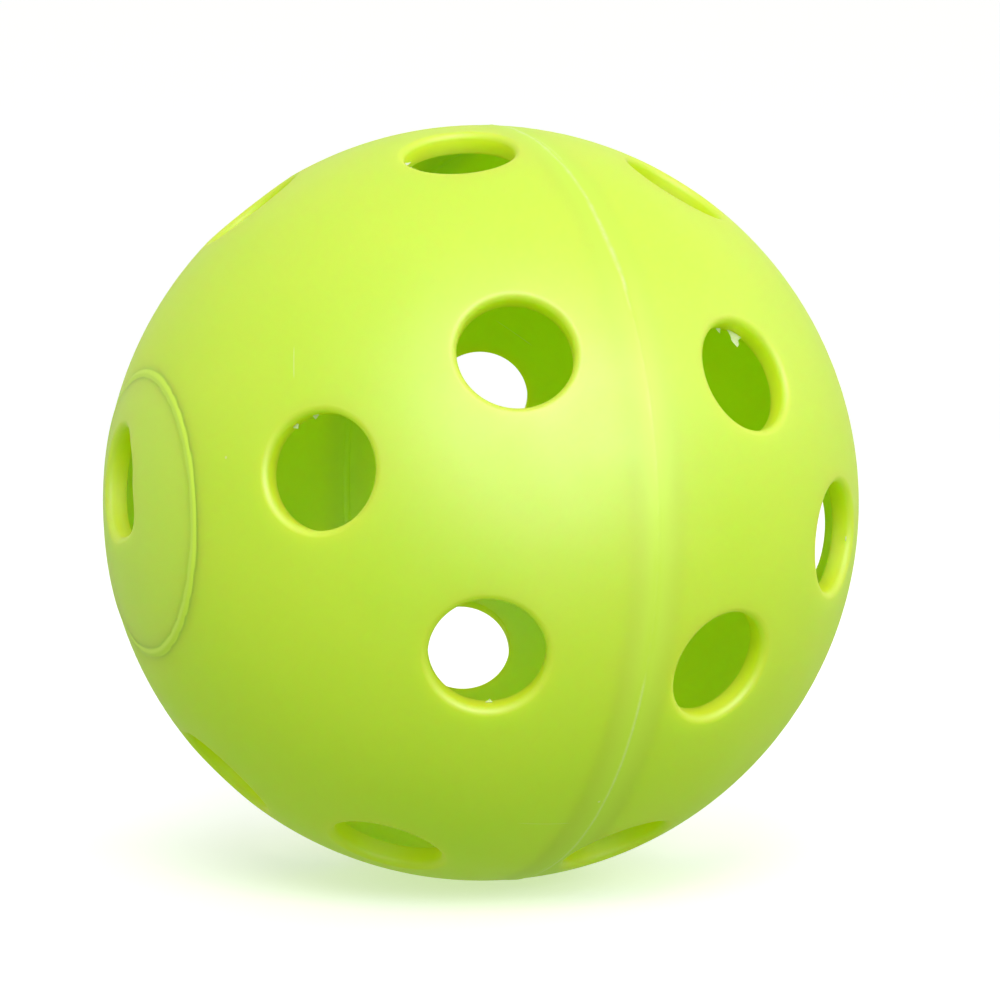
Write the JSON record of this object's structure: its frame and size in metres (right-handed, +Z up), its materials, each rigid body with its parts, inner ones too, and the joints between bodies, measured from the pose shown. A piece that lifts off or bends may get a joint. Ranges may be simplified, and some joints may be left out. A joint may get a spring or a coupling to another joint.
{
  "type": "pickleball ball",
  "caption": "Hollow indoor pickleball ball with round holes all over, made of two half shells joined by a weld bead, in lime-green plastic.",
  "frame": {"origin": "centre of the ball", "axes": "X through the two moulded poles and square to the weld seam, with the ringed half on the -X side; +Z up as the ball lies"},
  "size_m": [0.0739, 0.0742, 0.0742],
  "materials": {
    "shell_plastic": "satin",
    "weld_plastic": "satin"
  },
  "bodies": {
    "root": {"ringed_half": "shell_plastic", "plain_half": "shell_plastic", "weld_bead": "weld_plastic"}
  },
  "joints": []
}
